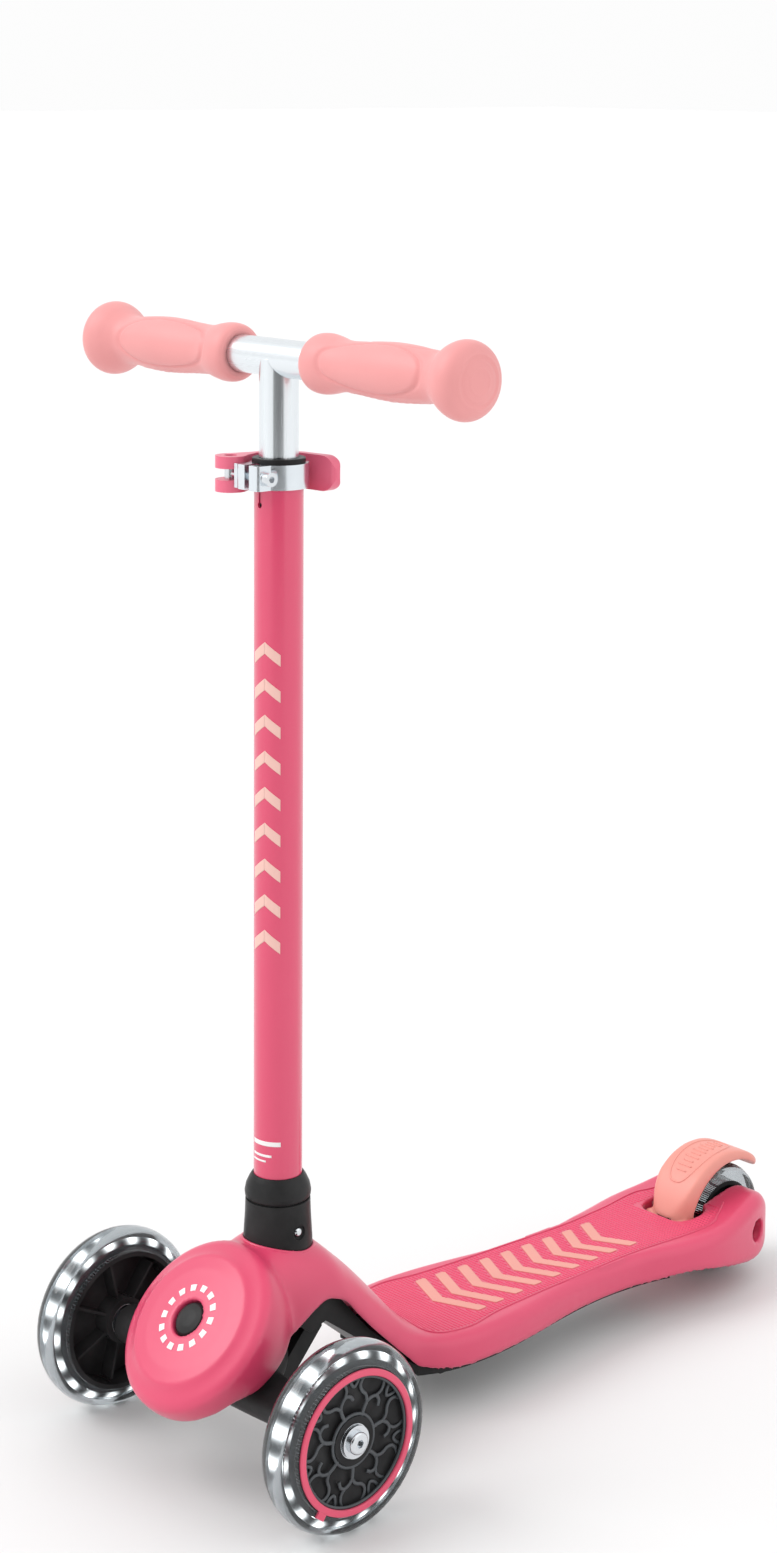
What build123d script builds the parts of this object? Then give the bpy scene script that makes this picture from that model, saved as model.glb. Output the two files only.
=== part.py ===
from build123d import *
from math import copysign, cos, radians, sin
import os

# Child's three-wheel lean-to-steer kick scooter.  Millimetres, +Z up; the rider faces -Y and the rider's
# left is +X.  Places are measured from the ground point under the front axle, and MID_Y then moves the
# whole model so that its origin is the middle of its footprint.

MID_Y = 226.75           # middle of the overall length, behind the front axle
TRACK = 236.0            # between the mid-planes of the front wheels
WHEELBASE = 474.0        # front axle to rear axle

# Front wheels
WHEEL_R = 60.5
WHEEL_HALF = 12.0        # half the tyre width
TYRE_BORE_R = 46.5
CHANNEL_R = 54.0         # groove inside the tyre for the light ring
CHANNEL_HALF = 6.0
TRIM_R = 45.8
TRIM_BORE_R = 41.4
BOSS_R = 15.5
LED_COUNT = 18
WEB_RIBS = 7

# Rear wheel
REAR_R = 40.0
REAR_HALF = 11.0
REAR_BORE_R = 28.0

# Ball bearings and M8 axles
BEARING_R = 11.0
BEARING_BORE_R = 4.05
BEARING_W = 7.0
AXLE_R = 4.0
AXLE_HEAD_R = 7.2
WASHER_R = 10.4

# Column and handlebar
COLUMN_Y = 45.0
OUTER_R = 15.9
OUTER_BORE_R = 14.3
OUTER_BASE_Z = 112.0
OUTER_TOP_Z = 652.5
SLIT_END_Z = 626.0
INNER_R = 12.7
INNER_BORE_R = 11.2
INNER_BASE_Z = 392.0
BAR_Z = 719.0
BAR_R = 12.2
BAR_BORE_R = 10.7
BAR_HALF = 179.0
GRIP_START = 38.0
BAR_STEP = 62.5
BAR_STEPS = 3
BUTTON_Z = 408.0         # the telescope's snap button at the lowest setting
BUTTON_R = 3.2

# Collar on the neck
SOCKET_BASE_Z = 106.0
SOCKET_TOP_Z = 167.5
SPIGOT_R = 20.0
SOCKET_R = 21.3
CAP_TOP_Z = 184.5
RELEASE_Z = 149.0        # height of the column's snap button

# Steering pivot: square to the round cover on the nose, leaning forward
PIVOT_TILT = 48.0
COVER_Y = -25.0
COVER_Z = 102.0
COVER_R = 59.0
RIM_R = 46.5
HUB_R = 28.0
PIVOT_R = 5.0
LOCK_R = 12.0
NOSE_OUT = 6.0           # how far the moulded cover stands out along the pivot

# Deck
DECK_TOP = 55.0
INLAY_Z = (53.8, 55.5)   # the tread inlay's underside and top
INLAY_ROWS = [
    (184, 32), (202, 31), (222, 29.5), (242, 28), (262, 27), (282, 26), (302, 25), (322, 24.5), (342, 25),
]
PAN_Z = 30.4             # underside of the plate that closes the deck
PAN_T = 2.4
SCREW_PLACES = [(x, y) for y in (172, 280, 388) for x in (-29, 29)]
WALL = 3.6
NECK_WALL = 4.2
SLOT_HALF = 14.5         # slot for the rear wheel
PIN_Y = 423.0            # brake pin
PIN_Z = 46.0
PIN_R = 2.5

# Quick-release clamp
BAND_Z = (636.5, 652.5)
BAND_R = 19.2
BOLT_Y = 25.0
BOLT_Z = 644.5
LEVER_X = -24.0
EAR_GAP = 2.2

PIVOT_N = Vector(0, -sin(radians(PIVOT_TILT)), cos(radians(PIVOT_TILT)))
COVER_C = Vector(0, COVER_Y, COVER_Z)

# Deck stations: distance behind the front axle, half width, underside, top
DECK_STATIONS = [
    (118, 34, 42, 64), (134, 45, 34, 57.5), (152, 53, 30.5, 55.5), (182, 57, 30, 55), (216, 55, 30, 55),
    (262, 47.5, 30, 55), (308, 42, 30, 55), (346, 43, 30, 55), (378, 49, 30, 55), (408, 54, 28, 55.5),
    (438, 53, 22, 58), (462, 48, 17, 63), (480, 42.5, 16, 65), (492, 36, 20, 60), (498, 29, 27, 52),
]

# Neck stations: distance behind the front axle, half width, shoulder height, crown height
NECK_STATIONS = [
    (-8, 43, 72, 114), (8, 42, 80, 132), (22, 39.5, 88, 142), (34, 41.5, 94, 144.5), (46, 41, 98, 143),
    (60, 39.5, 100, 139), (76, 38.5, 92, 128), (92, 38, 76, 113.5), (108, 38.5, 58, 97), (122, 41, 47, 81),
    (136, 46, 42, 66), (150, 51, 40, 57.5), (166, 54, 40, 55),
]
NECK_FOOT_Z = 22.0
CROWN_POWER = 0.86       # below 1 squares the crown a little

BASE = (Align.CENTER, Align.CENTER, Align.MIN)


def along_pivot(distance):
    """Plane square to the steering pivot, at a distance in front of the cover's centre."""
    return Plane(origin=COVER_C + PIVOT_N * distance, x_dir=(1, 0, 0), z_dir=PIVOT_N)


def across(x, y, z):
    """Plane at a point, facing +X, with its own x along +Y."""
    return Plane(origin=(x, y, z), x_dir=(0, 1, 0), z_dir=(1, 0, 0))


def upright(y, z, x=0.0):
    return Plane(origin=(x, y, z))


def turned(points, plane):
    """Solid of revolution from (radius, height) points about the plane's normal."""
    return plane * revolve(make_face(Plane.XZ * Polyline(*points, close=True)), Axis.Z)


def rod(radius, plane, length):
    return plane * Cylinder(radius, length, align=BASE)


def pipe(radius, bore, plane, length):
    return rod(radius, plane, length) - rod(bore, plane, length)


def block(x, y, z, size_x, size_y, size_z):
    return Pos(x, y, z) * Box(size_x, size_y, size_z)


def side_plate(outline, half_width):
    """Extrude a closed (y, z) outline to both sides of the middle plane."""
    return extrude(Plane.YZ * make_face(outline), half_width, both=True)


def coil(radius, wire, pitch, height, plane):
    path = Helix(pitch, height, radius)
    section = Plane(origin=path @ 0, z_dir=path % 0) * Circle(wire)
    return plane * sweep(section, path)


def mirrored(solid):
    return solid.mirror(Plane.YZ)


def hex_prism(across_flats, plane, length):
    return plane * extrude(RegularPolygon(across_flats / 2, 6, major_radius=False), length)


# ---------------------------------------------------------------- deck, neck and nose

def deck_body(inset, skin, corner):
    """Lofted deck; inset draws the sides in, skin lowers the top and opens the underside."""
    sections = []
    for y, half, low, high in DECK_STATIONS:
        low_edge = low - 12 if inset else low
        height = high - skin - low_edge
        plane = Plane(origin=(0, y, low_edge + height / 2), x_dir=(1, 0, 0), z_dir=(0, -1, 0))
        sections.append(plane * RectangleRounded(2 * (half - inset), height, min(corner, height / 2 - 0.5)))
    return loft(sections)


def crown_section(y, half, shoulder, top):
    """Section of the neck: upright sides to the shoulder under a rounded crown."""
    turns = [radians(angle) for angle in range(-90, 91, 15)]
    points = []
    for turn in turns:
        across_half = half * copysign(abs(sin(turn)) ** CROWN_POWER, turn)
        points.append((across_half, shoulder + (top - shoulder) * abs(cos(turn)) ** CROWN_POWER))
    sides = Polyline(points[-1], (half, NECK_FOOT_Z), (-half, NECK_FOOT_Z), points[0])
    section = make_face([Spline(*points), sides])
    return Plane(origin=(0, y, 0), x_dir=(1, 0, 0), z_dir=(0, -1, 0)) * section


def neck_solid(inset):
    return loft([crown_section(y, half - inset, shoulder - inset, top - inset)
                 for y, half, shoulder, top in NECK_STATIONS])


def neck_body():
    """Neck from the nose up to the column and down to the deck, with the arch cut under it."""
    outline = Polyline(
        (-34, 78), (-34, 170), (170, 170), (170, 40), (132, 37), (118, 50), (95, 73), (72, 98), (58, 105),
        (44, 101), (28, 91), (8, 79), (-14, 68), close=True)
    return neck_solid(0) & side_plate(outline, 60) & rod(200, along_pivot(NOSE_OUT - 206), 199)


def neck_cavity():
    outline = Polyline(
        (-70, 20), (-70, 74), (-36, 84), (8, 133), (24, 138.5), (58, 134), (74, 124), (128, 66),
        (150, 51.4), (165, 51.4), (165, 20), close=True)
    return side_plate(outline, 60) & neck_solid(NECK_WALL)


def nose_cup():
    """Side of the nose behind the round cover, narrowing to the rear; open underneath."""
    outline = [
        (COVER_R, -14), (COVER_R, -17), (58.4, -24), (56, -33), (51.5, -42), (46, -50), (42, -55),
        (38.6, -52.4), (42.2, -47.6), (47.6, -40), (52, -31.5), (54.4, -24), (54.6, -14),
    ]
    cup = turned(outline, along_pivot(NOSE_OUT))
    above = Polyline((-100, 66), (-100, 170), (60, 170), (60, 105), (44, 101), (28, 91), (8, 79), (-14, 68),
                     (-34, 66), close=True)
    return cup & side_plate(above, 80)


def nose_cover():
    """Round nose cover: raised inner disc, shallow groove and a rolled edge."""
    outline = [
        (0, 1.2), (18, 1.0), (34, 0.2), (43.5, -1.2), (RIM_R, -3.2), (49.5, -4.6), (54, -6.4), (57.4, -9.4),
        (COVER_R, -13.5), (COVER_R, -17), (58.2, -27), (54.4, -27), (54.6, -17), (53, -12.8), (48, -9.2),
        (42, -7), (30, -5.6), (0, -5.0),
    ]
    return turned(outline, along_pivot(NOSE_OUT)) + rod(LOCK_R + 3.5, along_pivot(NOSE_OUT - 12), 10)


def make_deck_shell():
    """Moulded body: nose cover, neck and hollow deck with the rear fork, in one piece."""
    outer = deck_body(0, 0, 9)
    inner = deck_body(WALL, WALL, 6) & block(0, 240, 40, 140, 496, 90)
    walls = outer & block(0, 466, 40, 2 * SLOT_HALF + 7.2, 90, 120)
    pin_boss = outer & (block(28, PIN_Y, 47, 9, 17, 40) + block(-28, PIN_Y, 47, 9, 17, 40))
    axle_boss = outer & rod(10, across(-60, WHEELBASE, REAR_R), 120)
    shell = outer + neck_body() - neck_cavity() - inner + walls + pin_boss + axle_boss
    shell += nose_cover()
    shell += nose_cup() - neck_solid(NECK_WALL)
    slot = side_plate(Polyline((431, 0), (431, 120), (520, 120), (520, 0), close=True), SLOT_HALF)
    pocket = Pos(0, PIN_Y + 6, 36) * extrude(RectangleRounded(46, 32, 12), 60)
    shell -= slot + pocket
    shell -= rod(PIN_R, across(-31, PIN_Y, PIN_Z), 62)
    shell -= rod(AXLE_R, across(-60, WHEELBASE, REAR_R), 120)
    shell -= rod(8.5, across(31, WHEELBASE, REAR_R), 20) + rod(8.5, across(-51, WHEELBASE, REAR_R), 20)
    for piece in make_tread_inlay(INLAY_Z[1] + 2).solids():
        shell -= piece
    shell -= rod(SPIGOT_R, upright(COLUMN_Y, 100), 80)
    shell -= rod(22.9, upright(COLUMN_Y, 133.9), 40)
    shell -= rod(LOCK_R + 0.3, along_pivot(-20), 40)
    for x, y in SCREW_PLACES:
        shell += rod(4, upright(y, 38, x), 15)
    for x, y in SCREW_PLACES:
        shell -= rod(1.5, upright(y, 20, x), 30)
    return shell


def make_neck_frame():
    """Structural core inside the neck: column socket seat, web and the yoke behind the truck."""
    web = side_plate(Polyline(
        (16, 110), (24, 117.5), (56, 117), (72, 103), (104, 67), (118, 55), (146, 47), (152, 40), (152, 33),
        (132, 33), (104, 56), (66, 84), (53, 79.5), (47, 84), close=True), 24)
    yoke = along_pivot(-86) * Pos(0, 16, 0) * Box(34, 58, 12.5, align=BASE)
    frame = web + yoke
    frame -= rod(SPIGOT_R, upright(COLUMN_Y, 100), 80)
    frame -= rod(PIVOT_R, along_pivot(-100), 60)
    frame -= rod(HUB_R + 1.5, along_pivot(-73), 60)
    frame = max(frame.solids(), key=lambda piece: piece.volume)
    return frame


def make_belly_pan():
    """Black plate that closes the deck's underside."""
    stations = [s for s in DECK_STATIONS if 134 <= s[0] <= 400]
    edge = [(half - WALL - 1.6, y) for y, half, low, high in stations]
    right = Spline(*edge)
    front = Line(edge[0], (-edge[0][0], edge[0][1]))
    rear = Line(edge[-1], (-edge[-1][0], edge[-1][1]))
    plan = make_face([right, rear, mirrored(right), front])
    pan = Pos(0, 0, PAN_Z) * extrude(plan, PAN_T)
    rail = Pos(0, 0, PAN_Z + PAN_T) * extrude(plan, 4.6)
    inner = Pos(0, 262, PAN_Z + PAN_T) * Box(60, 266, 6, align=BASE)
    keel = block(0, 172, PAN_Z - 2.2, 80, 36, 5.2)
    pan += rail - inner + keel
    for x, y in SCREW_PLACES:
        pan -= rod(2.0, upright(y, PAN_Z - 9, x), 25)
        pan -= rod(4.3, upright(y, PAN_Z + 6.6, x), 20)
        pan -= rod(3.6, upright(y, PAN_Z - 9, x), 9.6)
    return pan


def make_belly_screws():
    """Six screws that hold the pan."""
    screws = []
    for x, y in SCREW_PLACES:
        head = rod(3.2, upright(y, PAN_Z - 1.4, x), 2.0) - hex_prism(2.4, upright(y, PAN_Z - 1.5, x), 1.2)
        screws.append(head + rod(1.5, upright(y, PAN_Z + 0.6, x), 19))
    return Compound(screws)


def inlay_chevron(y, half):
    """Chevron that points to the front, with rounded corners."""
    chevron = make_face(Polyline(
        (-half, y + 13), (0, y), (half, y + 13), (half, y + 22), (0, y + 9), (-half, y + 22), close=True))
    return fillet(chevron.vertices(), 1.6)


def make_tread_inlay(top=INLAY_Z[1]):
    """Plain row of chevrons along the tread, narrower at the deck's waist."""
    solids = []
    for y, half in INLAY_ROWS:
        for face in inlay_chevron(y, half).faces():
            solids.append(Pos(0, 0, INLAY_Z[0]) * extrude(face, top - INLAY_Z[0]))
    return Compound(solids)


# ---------------------------------------------------------------- column and collar

def make_column_socket():
    """Black socket that the column stands in."""
    z0, z1 = SOCKET_BASE_Z, SOCKET_TOP_Z
    outline = [
        (6, z0), (SPIGOT_R, z0), (SPIGOT_R, 134), (22.6, 134), (22.7, 140), (21.6, 158), (SOCKET_R, z1),
        (OUTER_R, z1), (OUTER_R, OUTER_BASE_Z), (6, OUTER_BASE_Z),
    ]
    socket = turned(outline, upright(COLUMN_Y, 0))
    socket &= block(0, COLUMN_Y, 140, 60, 60, 80)
    socket -= rod(BUTTON_R + 0.08, across(0, COLUMN_Y, RELEASE_Z), 30)
    return socket - rod(4.8, across(20.4, COLUMN_Y, RELEASE_Z), 10)


def make_collar_cap():
    outline = [
        (OUTER_R, 168.4), (20.3, 168.4), (21.5, 169.4), (21.8, 172.5), (20.9, 177), (18.8, 181.5),
        (17.2, 184), (16.6, CAP_TOP_Z), (OUTER_R, CAP_TOP_Z),
    ]
    ring = pipe(20.0, OUTER_R, upright(COLUMN_Y, SOCKET_TOP_Z), 0.9)
    return turned(outline, upright(COLUMN_Y, 0)) + ring


def make_outer_tube():
    tube = pipe(OUTER_R, OUTER_BORE_R, upright(COLUMN_Y, OUTER_BASE_Z), OUTER_TOP_Z - OUTER_BASE_Z)
    tube -= rod(BUTTON_R + 0.08, across(0, COLUMN_Y, RELEASE_Z), 30)
    for step in range(BAR_STEPS + 1):
        hole = Plane(origin=(0, COLUMN_Y, BUTTON_Z + step * BAR_STEP), x_dir=(1, 0, 0), z_dir=(0, 1, 0))
        tube -= rod(BUTTON_R + 0.08, hole, 30)
    front = Plane(origin=(0, COLUMN_Y, SLIT_END_Z), x_dir=(1, 0, 0), z_dir=(0, -1, 0))
    tube -= rod(1.9, front, 30)
    slit = OUTER_TOP_Z - SLIT_END_Z + 2
    return tube - block(0, COLUMN_Y - 15, SLIT_END_Z + slit / 2, 1.7, 20, slit)


def make_clamp_sleeve():
    """Guide bush between the two tubes, with a flange over the outer one."""
    bush = pipe(OUTER_BORE_R, INNER_R + 0.06, upright(COLUMN_Y, 608), OUTER_TOP_Z - 608)
    flange = pipe(17.2, INNER_R + 0.06, upright(COLUMN_Y, OUTER_TOP_Z), 3.2)
    flange = chamfer(flange.edges().group_by(Axis.Z)[-1], 0.6)
    return bush + flange - block(0, COLUMN_Y - 14, 630, 1.6, 12, 45)


def make_clamp_band():
    z0, z1 = BAND_Z
    band = pipe(BAND_R, OUTER_R, upright(COLUMN_Y, z0), z1 - z0)
    ears = block(0, 25.6, (z0 + z1) / 2, 22, 14, z1 - z0) - rod(OUTER_R, upright(COLUMN_Y, z0), z1 - z0)
    band += fillet(ears.edges().filter_by(Axis.Z).group_by(Axis.Y)[0], 3)
    band -= block(0, 27, (z0 + z1) / 2, 2 * EAR_GAP, 26, 30)
    return band - rod(2.55, across(-20, BOLT_Y, BOLT_Z), 40)


def make_clamp_bolt():
    """Socket-head bolt through both ears into the lever's barrel."""
    head = rod(4.6, across(12.0, BOLT_Y, BOLT_Z), 5.2)
    head -= hex_prism(4.0, across(14.6, BOLT_Y, BOLT_Z), 4)
    return head + rod(2.5, across(LEVER_X + 1, BOLT_Y, BOLT_Z), 12 - LEVER_X - 1)


def make_clamp_washer():
    """Plain washer under the head and the saddle under the lever's cam."""
    band_space = upright(COLUMN_Y, BOLT_Z - 12)
    washer = pipe(5.0, 2.55, across(11.0, BOLT_Y, BOLT_Z), 1.0) - rod(BAND_R + 0.05, band_space, 24)
    saddle = block(-12.7, BOLT_Y - 1, BOLT_Z, 3.3, 8, 15.6) - rod(BAND_R, band_space, 24)
    saddle -= rod(10.3, upright(BOLT_Y, BOLT_Z - 12, LEVER_X), 24)
    return Compound([washer, saddle - rod(2.55, across(-20, BOLT_Y, BOLT_Z), 12)])


def make_clamp_barrel():
    barrel = rod(4.0, upright(BOLT_Y, BOLT_Z - 10.5, LEVER_X), 21)
    return barrel - rod(2.5, across(LEVER_X + 1, BOLT_Y, BOLT_Z), 20)


def make_clamp_lever():
    """Forked cam and a long handle that wraps round the back of the column."""
    inner, outer = 22.4, 28.0
    cam = Pos(LEVER_X, BOLT_Y) * Circle(10.0)
    wrap = Pos(0, COLUMN_Y) * (Circle(outer) - Circle(inner))
    wrap &= Pos(-28, COLUMN_Y + 9) * Rectangle(56, 50)
    root = make_face(Polyline((-33.8, 25), (-28, 45), (-22.4, 45), (-15.5, 30), (-20, 22), close=True))
    paddle = make_face([
        Line((0, COLUMN_Y + inner), (22, COLUMN_Y + inner + 2)),
        ThreePointArc((22, COLUMN_Y + inner + 2), (25.5, COLUMN_Y + 27.5), (22, COLUMN_Y + outer + 3.5)),
        Line((22, COLUMN_Y + outer + 3.5), (0, COLUMN_Y + outer)),
        Line((0, COLUMN_Y + outer), (0, COLUMN_Y + inner)),
    ])
    plan = cam + wrap + root + paddle
    lever = Pos(0, 0, BOLT_Z - 11.5) * extrude(plan, 23)
    face = Pos(-14.5, BOLT_Z) * RectangleRounded(80, 22.98, 11.4)
    lever &= extrude(Plane.XZ * face, 120, both=True)
    lever -= rod(4.08, upright(BOLT_Y, BOLT_Z - 20, LEVER_X), 40)
    lever -= block(LEVER_X, BOLT_Y - 2, BOLT_Z, 30, 27, 7.4)
    lever -= rod(21.0, upright(COLUMN_Y, BOLT_Z - 20), 40)
    return lever


# ---------------------------------------------------------------- handlebar

def make_inner_tube():
    tube = pipe(INNER_R, INNER_BORE_R, upright(COLUMN_Y, INNER_BASE_Z), BAR_Z - INNER_BASE_Z)
    hole = Plane(origin=(0, COLUMN_Y, BUTTON_Z), x_dir=(1, 0, 0), z_dir=(0, 1, 0))
    return tube - rod(BUTTON_R + 0.08, hole, 30) - rod(BAR_R, across(-30, COLUMN_Y, BAR_Z), 60)


def make_crossbar():
    return pipe(BAR_R, BAR_BORE_R, across(-BAR_HALF, COLUMN_Y, BAR_Z), 2 * BAR_HALF)


def make_grip(side):
    """Soft grip: flared inner collar, palm swell and a bulb at the end."""
    length = BAR_HALF + 6 - GRIP_START
    swell = [(0.0, 16.4), (0.035, 18.4), (0.09, 18.9), (0.15, 17.2), (0.22, 16.2), (0.34, 17.2), (0.5, 18.4),
             (0.64, 17.6), (0.74, 16.4), (0.80, 17.6), (0.86, 22.6), (0.91, 24.8), (0.955, 23.4)]
    start = (0, swell[0][1])
    shape = Spline(*[(length * t, r) for t, r in swell])
    tip = Spline((length * 0.955, 23.4), (length * 0.99, 16), (length, 0), tangents=[(0.6, -1), (0, -1)])
    face = make_face([Line((0, 0), start), shape, tip, Line((length, 0), (0, 0))])
    solid = revolve(face, Axis.X)
    solid -= Plane.YZ * Cylinder(BAR_R, BAR_HALF - GRIP_START, align=BASE)
    grip = Pos(GRIP_START, COLUMN_Y, BAR_Z) * solid
    return grip if side > 0 else mirrored(grip)


def make_tube_plug():
    """Foot of the telescoping tube, a running fit in the outer tube."""
    foot = pipe(OUTER_BORE_R - 0.06, 8, upright(COLUMN_Y, INNER_BASE_Z - 8), 8)
    return foot + pipe(INNER_BORE_R, 8, upright(COLUMN_Y, INNER_BASE_Z), 8)


def make_height_button():
    """Snap button inside the telescoping tube, drawn in level with its wall."""
    plane = Plane(origin=(0, COLUMN_Y, BUTTON_Z), x_dir=(1, 0, 0), z_dir=(0, 1, 0))
    return rod(BUTTON_R, plane.offset(5.5), INNER_R - 5.5) + rod(4.2, plane.offset(5.5), 1.5)


def make_height_spring():
    plane = Plane(origin=(0, COLUMN_Y, BUTTON_Z), x_dir=(1, 0, 0), z_dir=(0, 1, 0))
    return coil(3.4, 0.4, 2.2, 13.2, plane.offset(-8.4))


def make_column_button():
    """Snap button of the column, with its dome standing in the socket's recess."""
    plane = across(0, COLUMN_Y, RELEASE_Z)
    shank = rod(BUTTON_R, plane.offset(10.5), 11.3)
    return fillet(shank.edges().group_by(Axis.X)[-1], 2.2) + rod(4.6, plane.offset(10.2), 1.6)


def make_column_spring():
    return coil(3.4, 0.4, 2.6, 18.2, across(-12.2, COLUMN_Y, RELEASE_Z))


# ---------------------------------------------------------------- steering truck

def make_truck_beam():
    """Cast truck: hub on the pivot, two arms and the axle bosses."""
    hub = rod(HUB_R, along_pivot(-72), 48)
    hub = fillet(hub.edges().group_by(Axis.Z)[0], 9)
    stations = [(0, 9, 54, 20, 14), (42, 7, 55, 17, 14), (78, 1, 59, 14, 13), (101, 0, WHEEL_R, 13, 13)]
    sections = [across(x, y, z) * Ellipse(wide, tall) for x, y, z, wide, tall in stations]
    arm = loft(sections)
    beam = hub + arm + mirrored(arm)
    beam -= rod(HUB_R + 8, along_pivot(-92), 20)
    beam -= rod(8.0, along_pivot(-80), 70)
    beam -= rod(14.0, along_pivot(-60), 24)
    beam -= rod(10.5, along_pivot(-27.2), 10)
    beam -= rod(AXLE_R, across(52, 0, WHEEL_R), 60) + rod(AXLE_R, across(-112, 0, WHEEL_R), 60)
    return beam


def make_pivot_shaft():
    head = rod(9.0, along_pivot(-26.5), 5.5) - hex_prism(6, along_pivot(-23.5), 4)
    return head + rod(PIVOT_R, along_pivot(-92), 66)


def make_pivot_nut():
    return hex_prism(15, along_pivot(-93.5), 7.3) - rod(PIVOT_R, along_pivot(-95), 10)


def make_pivot_bushes():
    """Two flanged plain bushes pressed into the truck's hub."""
    front = pipe(8.0, PIVOT_R + 0.05, along_pivot(-36), 8.8)
    rear = pipe(8.0, PIVOT_R + 0.05, along_pivot(-72), 12.0)
    return Compound([front, rear])


def make_centering_spring():
    """Torsion coil round the pivot that brings the truck back to straight ahead."""
    return coil(10.0, 1.4, 3.6, 18.0, along_pivot(-57.5))


def make_lock_button():
    outline = [
        (0, 2.6), (6, 2.2), (10, 1.0), (LOCK_R - 0.1, -1.6), (LOCK_R - 0.1, -8), (4, -8), (4, -17), (0, -17),
    ]
    return turned(outline, along_pivot(NOSE_OUT - 1.5))


def make_lock_spring():
    return coil(6.5, 0.5, 2.2, 11.0, along_pivot(-20.2))


# ---------------------------------------------------------------- wheels

def on_wheel(side, offset, centre=(0, WHEEL_R)):
    """Plane on a front wheel's axis, facing outwards, at an offset from its mid-plane."""
    y, z = centre
    return Plane(origin=(side * (TRACK / 2 + offset), y, z), x_dir=(0, 1, 0), z_dir=(side, 0, 0))


def make_tyre(side):
    """Clear tyre with a groove inside for the light ring."""
    tread = [(WHEEL_R - 0.5 * (a / 4.2) ** 2 * 1.15, a) for a in (-9.5, -7, -4, 0, 4, 7, 9.5)]
    outline = tread + [
        (55.2, 11.4), (52, WHEEL_HALF), (TYRE_BORE_R, WHEEL_HALF), (TYRE_BORE_R, CHANNEL_HALF),
        (CHANNEL_R, CHANNEL_HALF), (CHANNEL_R, -CHANNEL_HALF), (TYRE_BORE_R, -CHANNEL_HALF),
        (TYRE_BORE_R, -WHEEL_HALF), (52, -WHEEL_HALF), (55.2, -11.4),
    ]
    return turned(outline, on_wheel(side, 0))


def make_hub(side):
    """Black hub: rim, dished web with raised branching ribs, and the bearing boss."""
    rim = [(TYRE_BORE_R, -12), (TYRE_BORE_R, 12), (41, 12), (41, 8.4), (BOSS_R, 5.4), (BOSS_R, 10),
           (BEARING_R, 10), (BEARING_R, 3), (9.6, 3), (9.6, -5), (BEARING_R, -5), (BEARING_R, -12),
           (BOSS_R, -12), (BOSS_R, 2), (42, 4.6), (43.4, -12)]
    hub = turned(rim, on_wheel(side, 0))
    for index in range(WEB_RIBS):
        rib = Rot(0, 0, 360 / WEB_RIBS * index) * Pos(28, 0) * Rectangle(26, 1.8)
        hub += on_wheel(side, -8) * extrude(rib, 11)
    return hub


def make_trim_ring(side):
    outline = [
        (TRIM_BORE_R, 12), (TRIM_R, 12), (TRIM_R, 13.2), (TRIM_R - 0.8, 13.8), (TRIM_BORE_R + 0.6, 13.8),
        (TRIM_BORE_R, 13.2),
    ]
    ring = turned(outline, on_wheel(side, 0))
    tab = on_wheel(side, 12) * Rot(0, 0, -128) * Pos(TRIM_R + 1.6, 0) * Box(5, 7, 1.4, align=BASE)
    return ring + tab


def make_light_ring(side):
    """Translucent carrier in the tyre's groove, with three module housings."""
    ring = pipe(50.0, TYRE_BORE_R, on_wheel(side, -5.6), 11.2)
    for index in range(3):
        spot = on_wheel(side, -4.5) * Rot(0, 0, 120 * index + 180 / LED_COUNT) * Pos(51.4, 0)
        ring += spot * Box(3.2, 8, 9, align=BASE)
    return ring


def make_leds(side):
    """Emitters round the light ring."""
    leds = []
    for index in range(LED_COUNT):
        spot = on_wheel(side, 0) * Rot(0, 0, 360 / LED_COUNT * index) * Pos(51.2, 0)
        leds.append(spot * Box(2.4, 4.0, 4.0))
    return Compound(leds)


def make_bearings(side):
    outer = pipe(BEARING_R, BEARING_BORE_R, on_wheel(side, 3), BEARING_W)
    inner = pipe(BEARING_R, BEARING_BORE_R, on_wheel(side, -12), BEARING_W)
    return Compound([outer, inner])


def make_dynamo_core(side):
    """Magnet ring and spacer that stay still on the axle between the bearings."""
    return pipe(9.2, AXLE_R, on_wheel(side, -4.2), 6.6) + pipe(5.6, AXLE_R, on_wheel(side, -4.8), 7.6)


def make_axle_bolt(side):
    shank = rod(AXLE_R, on_wheel(side, -64), 76.2)
    washer = rod(WASHER_R, on_wheel(side, 10.4), 1.7)
    head = rod(AXLE_HEAD_R, on_wheel(side, 12.1), 3.6)
    rim = head.edges().group_by(Axis.X)[-1 if side > 0 else 0]
    return shank + washer + fillet(rim, 1.8) - hex_prism(5, on_wheel(side, 13.4), 4)


def make_axle_spacers():
    """Spacers between the truck's bosses and the inner bearings."""
    spacers = [pipe(6.2, AXLE_R, on_wheel(side, -17), 4.6) for side in (-1, 1)]
    return Compound(spacers)


def rear_plane(offset):
    return across(offset, WHEELBASE, REAR_R)


def make_rear_tyre():
    outline = [(REAR_BORE_R, -REAR_HALF), (35, -REAR_HALF), (37.8, -9.4), (39.5, -6), (REAR_R, 0), (39.5, 6),
               (37.8, 9.4), (35, REAR_HALF), (REAR_BORE_R, REAR_HALF)]
    return turned(outline, rear_plane(0))


def make_rear_hub():
    outline = [(REAR_BORE_R, -REAR_HALF), (REAR_BORE_R, REAR_HALF), (24.5, REAR_HALF), (23.5, 4), (15, 4),
               (14.5, 11.5), (BEARING_R, 11.5), (BEARING_R, 4.5), (9.6, 4.5), (9.6, -4.5), (BEARING_R, -4.5),
               (BEARING_R, -11.5), (14.5, -11.5), (15, -4), (23.5, -4), (24.5, -REAR_HALF)]
    hub = turned(outline, rear_plane(0))
    for index in range(6):
        hub += rear_plane(-8) * Rot(0, 0, 60 * index) * Pos(19.3, 0) * Box(9.6, 2.4, 16, align=BASE)
    return hub


def make_rear_bearings():
    return Compound([pipe(BEARING_R, BEARING_BORE_R, rear_plane(x), BEARING_W) for x in (4.5, -11.5)])


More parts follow.
